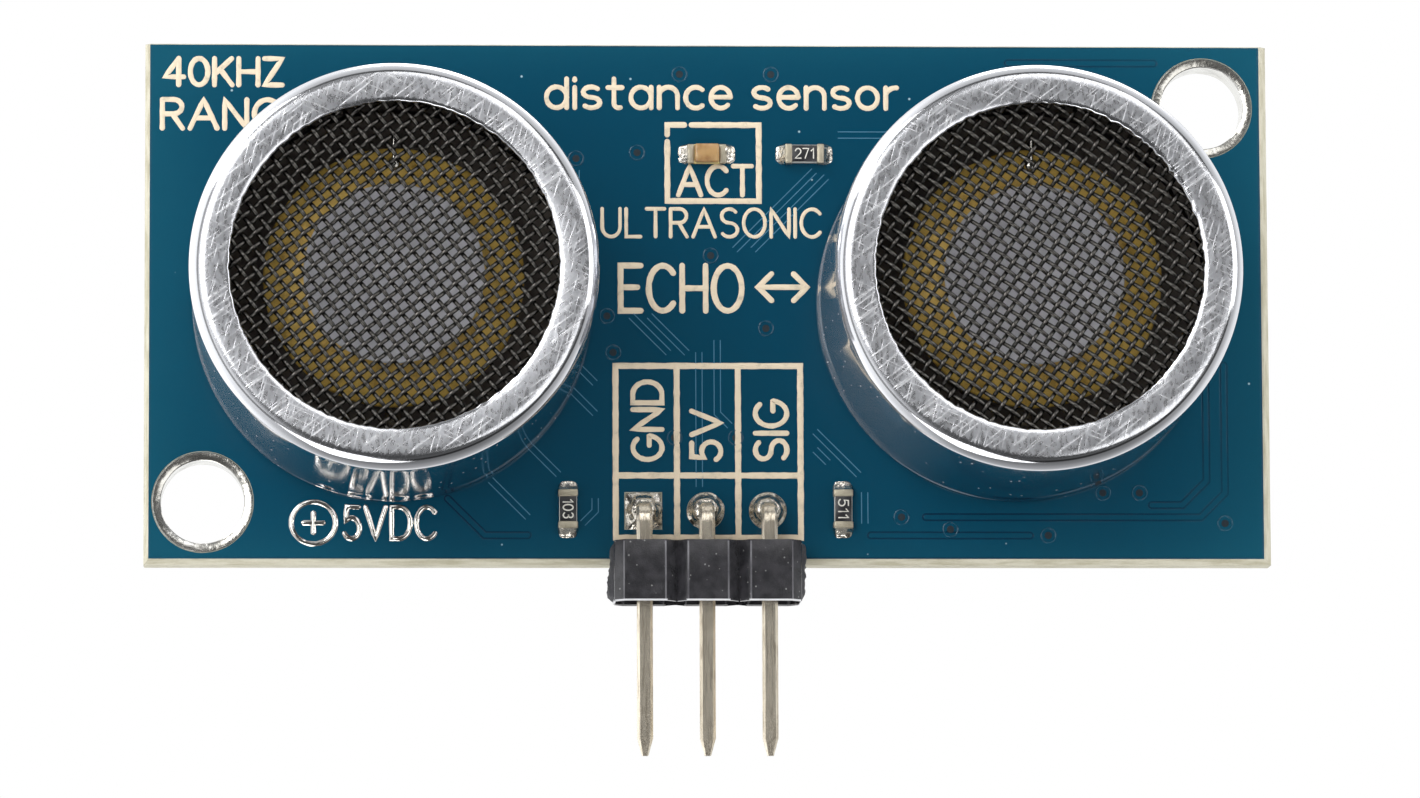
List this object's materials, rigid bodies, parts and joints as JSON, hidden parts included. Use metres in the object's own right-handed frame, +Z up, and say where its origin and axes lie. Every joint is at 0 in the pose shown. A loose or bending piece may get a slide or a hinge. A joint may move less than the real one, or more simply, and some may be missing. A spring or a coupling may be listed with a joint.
{
  "type": "ultrasonic distance sensor",
  "caption": "Ultrasonic distance sensor: two round metal capsules with woven screens on an upright blue circuit board, with a bent pin header below.",
  "frame": {"origin": "middle of the two mounting holes, on the board's front face", "axes": "+X to the right and +Z up as seen from the front, -Y out of the front along the capsules, pins towards -Z"},
  "size_m": [0.046, 0.016, 0.0293],
  "materials": {
    "board_laminate": "blue solder mask over glass-fibre laminate",
    "tinned_copper": "tinned",
    "solder": "smooth solder",
    "pin_metal": "warm nickel-plated brass",
    "header_plastic": "semi-gloss moulded",
    "can_aluminium": "polished, finely scratched rim",
    "screen_wire": "blackened woven wire",
    "base_resin": "moulded",
    "elastomer": "silicone",
    "brass_plate": "satin",
    "piezo_ceramic": "silvered ceramic",
    "cone_metal": "spun",
    "led_substrate": "matt",
    "led_resin": "clear amber",
    "resistor_ceramic": "black glaze",
    "capacitor_ceramic": "satin tan ceramic",
    "chip_plastic": "fine moulded texture",
    "resonator_ceramic": "satin",
    "resonator_lid": "satin",
    "tantalum_plastic": "moulded"
  },
  "bodies": {
    "root": {"activity_led_base": "led_substrate", "activity_led_ends": "tinned_copper", "activity_led_lens": "led_resin", "amplifier_chip": "chip_plastic", "amplifier_leads": "tinned_copper", "bias_resistor": "resistor_ceramic", "bias_resistor_ends": "tinned_copper", "capsule_pads": "tinned_copper", "circuit_board": "board_laminate", "controller_chip": "chip_plastic", "controller_leads": "tinned_copper", "driver_chip": "chip_plastic", "driver_leads": "tinned_copper", "front_solder": "solder", "ground_pin": "pin_metal", "header_housing": "header_plastic", "header_pads": "tinned_copper", "header_solder": "solder", "led_resistor": "resistor_ceramic", "led_resistor_ends": "tinned_copper", "mounting_eyelets": "tinned_copper", "rear_capacitor_ends": "tinned_copper", "rear_capacitors": "capacitor_ceramic", "rear_resistor_ends": "tinned_copper", "rear_resistors": "resistor_ceramic", "rear_solder": "solder", "receiver_base": "base_resin", "receiver_can": "can_aluminium", "receiver_cone": "cone_metal", "receiver_crystal": "piezo_ceramic", "receiver_lead_wires": "tinned_copper", "receiver_mount_ring": "elastomer", "receiver_plate": "brass_plate", "receiver_screen": "screen_wire", "receiver_solder": "solder", "receiver_terminals": "tinned_copper", "resonator_base": "resonator_ceramic", "resonator_cap": "resonator_lid", "resonator_terminals": "tinned_copper", "signal_pin": "pin_metal", "signal_resistor": "resistor_ceramic", "signal_resistor_ends": "tinned_copper", "smoothing_capacitor": "tantalum_plastic", "smoothing_capacitor_tabs": "tinned_copper", "supply_pin": "pin_metal", "switch_transistor": "chip_plastic", "switch_transistor_leads": "tinned_copper", "transmitter_base": "base_resin", "transmitter_can": "can_aluminium", "transmitter_cone": "cone_metal", "transmitter_crystal": "piezo_ceramic", "transmitter_lead_wires": "tinned_copper", "transmitter_mount_ring": "elastomer", "transmitter_plate": "brass_plate", "transmitter_screen": "screen_wire", "transmitter_solder": "solder", "transmitter_terminals": "tinned_copper"}
  },
  "joints": []
}
